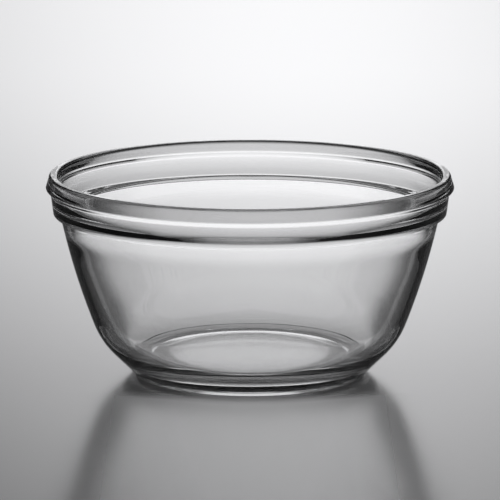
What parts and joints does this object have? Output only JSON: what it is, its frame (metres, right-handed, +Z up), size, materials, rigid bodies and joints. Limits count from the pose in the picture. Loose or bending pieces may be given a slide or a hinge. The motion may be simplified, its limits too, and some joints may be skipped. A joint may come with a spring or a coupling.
{
  "type": "mixing bowl",
  "caption": "Round clear pressed-glass mixing bowl with a thick rim bead, a stepped collar, a bowed wall, a sloping heel and a low ring foot.",
  "frame": {"origin": "centre of the circle that the ring foot stands on, at the level of the surface under it", "axes": "+Z up along the bowl's axis, from the foot towards the mouth; X and Y are level and alike all round"},
  "size_m": [0.2246, 0.2246, 0.1113],
  "materials": {
    "clear_glass": "clear, fire-polished pressed glass"
  },
  "bodies": {
    "root": {"glass_bowl": "clear_glass"}
  },
  "joints": []
}
